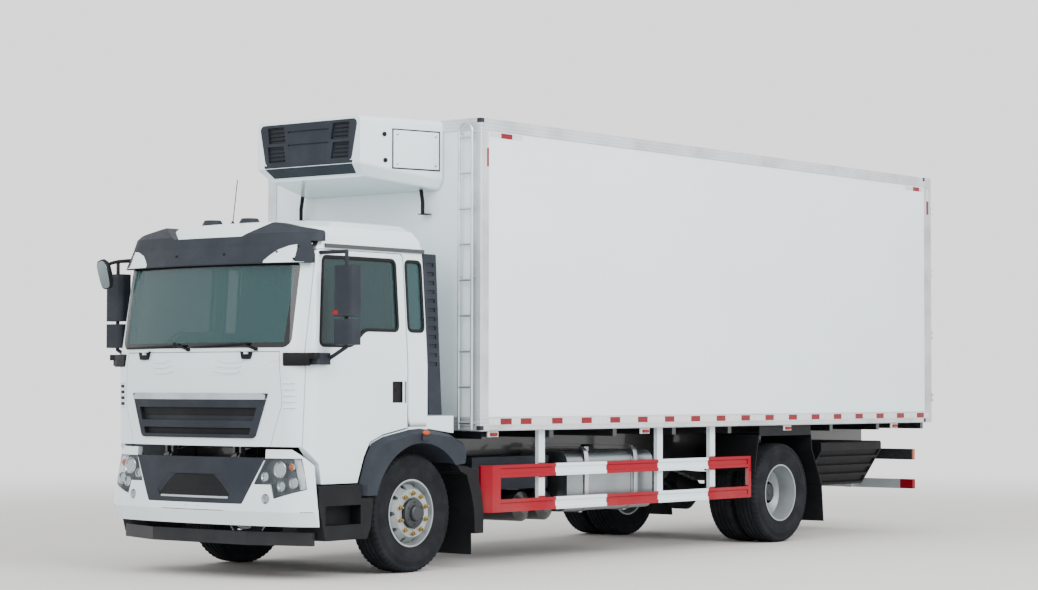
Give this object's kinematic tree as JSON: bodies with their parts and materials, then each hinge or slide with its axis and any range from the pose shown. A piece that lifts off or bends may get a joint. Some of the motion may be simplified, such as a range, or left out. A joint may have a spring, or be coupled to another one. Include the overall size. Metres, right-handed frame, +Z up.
{
  "type": "refrigerated truck",
  "caption": "Two-axle refrigerated truck: white forward-control tilting cab, nose cooling unit, insulated box body with rear doors, side guards, twin rear wheels.",
  "frame": {"origin": "on the ground under the middle of the truck's overall length, width and height box", "axes": "+X forward towards the cab, +Y towards the truck's left side, +Z up"},
  "size_m": [10.252, 2.954, 3.9499],
  "materials": {
    "white_paint": "smooth gloss paint",
    "box_skin": "smooth laminate panels",
    "aluminium": "ribbed anodised extrusion",
    "stainless": "brushed steel",
    "door_skin": "smooth laminate panels",
    "dark_plastic": "fine-grained plastic",
    "interior_plastic": "soft-grained plastic",
    "seat_fabric": "woven cloth",
    "glass": "tinted clear glass",
    "lamp_plastic": "moulded lens",
    "chassis_paint": "satin paint",
    "cast_iron": "painted castings",
    "floor_metal": "ribbed extrusion",
    "tyre": "black rubber",
    "wheel_paint": "silver paint"
  },
  "bodies": {
    "chassis": {"chassis_frame": "chassis_paint", "leaf_springs": "chassis_paint", "front_axle_beam": "cast_iron", "rear_axle_housing": "cast_iron", "engine_block": "cast_iron", "propeller_shaft": "chassis_paint", "fuel_tank": "aluminium", "air_tanks": "chassis_paint", "battery_box": "dark_plastic", "exhaust_silencer": "chassis_paint", "side_guards": "aluminium", "mudguards": "dark_plastic", "underrun_guards": "aluminium", "tail_lamps": "lamp_plastic", "box_floor": "floor_metal", "box_subframe": "chassis_paint", "box_walls": "box_skin", "box_edge_rails": "aluminium", "box_rear_frame": "stainless", "ladder": "stainless", "cooling_unit_housing": "white_paint", "cooling_unit_grille": "dark_plastic", "cooling_hoses": "aluminium", "under_floor_unit": "dark_plastic", "front_bumper": "white_paint", "bumper_insert": "dark_plastic", "headlamps": "glass", "cab_steps": "dark_plastic"},
    "cab": {"cab_shell": "white_paint", "cab_glass": "glass", "sun_visor": "dark_plastic", "wheel_arches": "dark_plastic", "air_guides": "dark_plastic", "seats": "seat_fabric", "dashboard": "interior_plastic", "front_mirror": "dark_plastic", "wipers": "dark_plastic", "roof_fittings": "dark_plastic"},
    "steering_wheel": {"steering_wheel": "interior_plastic"},
    "front_flap": {"front_flap": "white_paint", "front_grille": "dark_plastic"},
    "door_left": {"door_left": "white_paint", "door_glass_left": "glass", "mirror_left": "dark_plastic"},
    "door_right": {"door_right": "white_paint", "door_glass_right": "glass", "mirror_right": "dark_plastic"},
    "knuckle_left": {"knuckle_left": "cast_iron"},
    "knuckle_right": {"knuckle_right": "cast_iron"},
    "track_rod": {"track_rod": "cast_iron"},
    "wheel_front_left": {"wheel_front_left": "wheel_paint", "tyre_front_left": "tyre"},
    "wheel_front_right": {"wheel_front_right": "wheel_paint", "tyre_front_right": "tyre"},
    "wheels_rear_left": {"wheels_rear_left": "wheel_paint", "tyres_rear_left": "tyre"},
    "wheels_rear_right": {"wheels_rear_right": "wheel_paint", "tyres_rear_right": "tyre"},
    "rear_door_left": {"rear_door_left": "door_skin"},
    "rear_door_right": {"rear_door_right": "door_skin"}
  },
  "joints": [
    {"name": "cab_tilt", "type": "hinge", "parent": "chassis", "child": "cab", "pos_m": [4.975, 0, 1], "axis": [0, 1, 0], "range_deg": [0, 50]},
    {"name": "front_flap_hinge", "type": "hinge", "parent": "cab", "child": "front_flap", "pos_m": [5.11, 0, 1.882], "axis": [0, -1, 0], "range_deg": [0, 75]},
    {"name": "door_left_hinge", "type": "hinge", "parent": "cab", "child": "door_left", "pos_m": [4.88, 1.211, 1.5], "axis": [0, 0, -1], "range_deg": [0, 70]},
    {"name": "door_right_hinge", "type": "hinge", "parent": "cab", "child": "door_right", "pos_m": [4.88, -1.211, 1.5], "axis": [0, 0, 1], "range_deg": [0, 70]},
    {"name": "steer_left", "type": "hinge", "parent": "chassis", "child": "knuckle_left", "pos_m": [3.58, 0.8, 0.507], "axis": [0, 0, 1], "range_deg": [-38, 38]},
    {"name": "steer_right", "type": "hinge", "parent": "chassis", "child": "knuckle_right", "pos_m": [3.58, -0.8, 0.507], "axis": [0, 0, 1], "range_deg": [-38, 38]},
    {"name": "track_rod_pivot", "type": "hinge", "parent": "knuckle_left", "child": "track_rod", "pos_m": [3.39, 0.8, 0.4], "axis": [0, 0, 1], "range_deg": [-38, 38]},
    {"name": "steering_wheel_turn", "type": "hinge", "parent": "cab", "child": "steering_wheel", "pos_m": [4.41863, 0.56, 1.97681], "axis": [-0.5603, 0, 0.8283], "range_deg": [-700, 700]},
    {"name": "roll_front_left", "type": "hinge", "parent": "knuckle_left", "child": "wheel_front_left", "pos_m": [3.58, 0.9725, 0.507], "axis": [0, 1, 0], "continuous": true},
    {"name": "roll_front_right", "type": "hinge", "parent": "knuckle_right", "child": "wheel_front_right", "pos_m": [3.58, -0.9725, 0.507], "axis": [0, 1, 0], "continuous": true},
    {"name": "roll_rear_left", "type": "hinge", "parent": "chassis", "child": "wheels_rear_left", "pos_m": [-2.02, 0.9685, 0.507], "axis": [0, 1, 0], "continuous": true},
    {"name": "roll_rear_right", "type": "hinge", "parent": "chassis", "child": "wheels_rear_right", "pos_m": [-2.02, -0.9685, 0.507], "axis": [0, 1, 0], "continuous": true},
    {"name": "rear_door_left_hinge", "type": "hinge", "parent": "chassis", "child": "rear_door_left", "pos_m": [-5.103, 1.3, 2.6], "axis": [0, 0, -1], "range_deg": [0, 240]},
    {"name": "rear_door_right_hinge", "type": "hinge", "parent": "chassis", "child": "rear_door_right", "pos_m": [-5.103, -1.3, 2.6], "axis": [0, 0, 1], "range_deg": [0, 240]}
  ],
  "couplings": [
    {"joint": "steer_right", "follows": "steer_left", "ratio": 1},
    {"joint": "track_rod_pivot", "follows": "steer_left", "ratio": -1},
    {"joint": "steering_wheel_turn", "follows": "steer_left", "ratio": 18}
  ]
}
